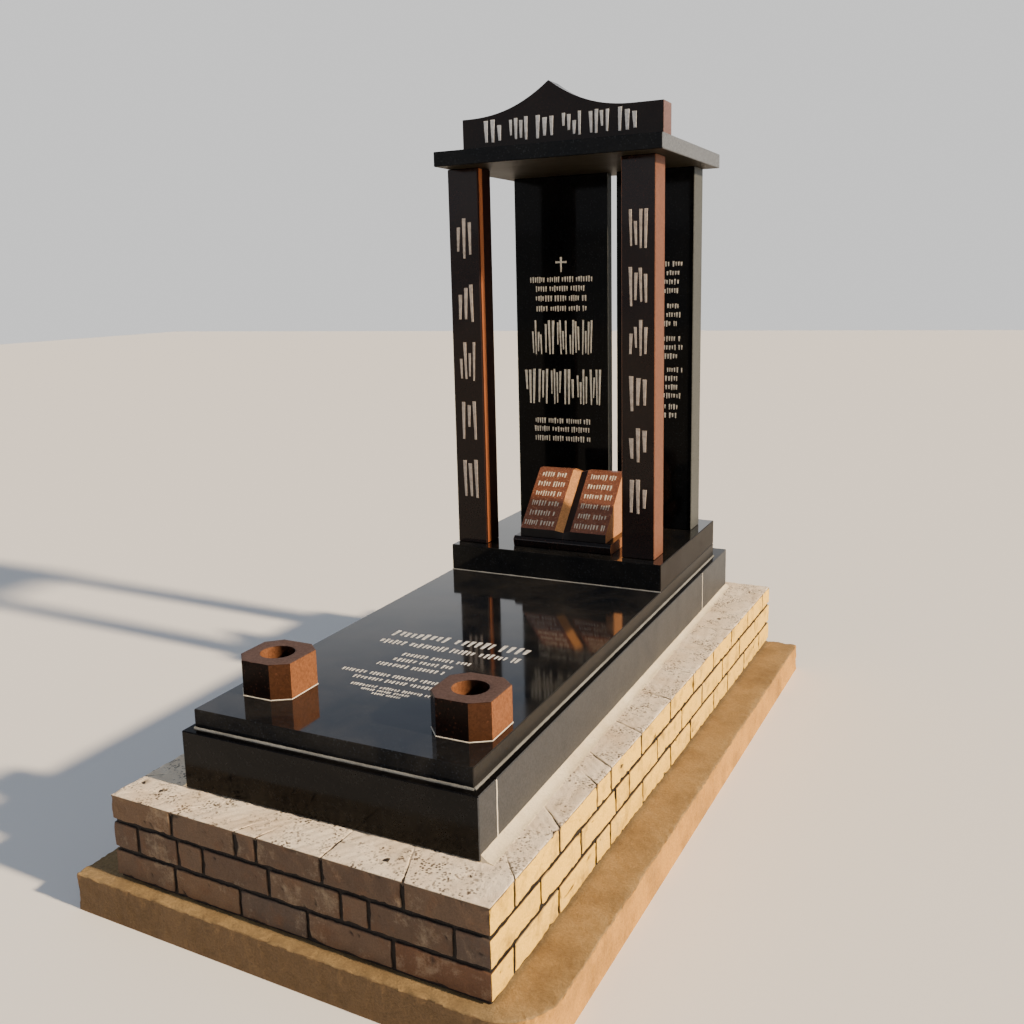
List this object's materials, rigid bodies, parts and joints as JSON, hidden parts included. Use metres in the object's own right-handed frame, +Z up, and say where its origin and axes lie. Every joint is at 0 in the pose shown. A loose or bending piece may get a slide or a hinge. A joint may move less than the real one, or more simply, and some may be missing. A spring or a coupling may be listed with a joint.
{
  "type": "granite grave monument",
  "caption": "Raised granite grave on a brick plinth, with pillars, twin tablets, a roof slab with a peaked board, an open stone book and vases.",
  "frame": {"origin": "on the ground, under the middle of the footing", "axes": "+Z up; +Y along the grave from its foot to its head; +X across it, to the right of someone who stands at the foot"},
  "size_m": [1.5201, 2.6864, 2.4201],
  "materials": {
    "concrete": "rough poured concrete, ochre with dirt",
    "brick": "weathered stock brick with dark raked joints",
    "black_granite": "polished",
    "red_granite": "polished",
    "brown_granite": "polished"
  },
  "bodies": {
    "root": {"footing": "concrete", "brick_course_1": "brick", "brick_course_2": "brick", "brick_course_3": "brick", "kerb_front": "black_granite", "kerb_rear": "black_granite", "kerb_left": "black_granite", "kerb_right": "black_granite", "ledger": "black_granite", "head_plinth": "black_granite", "tablet_left": "black_granite", "tablet_right": "black_granite", "roof_slab": "black_granite", "pillar_left": "red_granite", "pillar_right": "red_granite", "name_board": "red_granite", "book_rest": "brown_granite", "book": "brown_granite", "vase_left": "brown_granite", "vase_right": "brown_granite"}
  },
  "joints": []
}
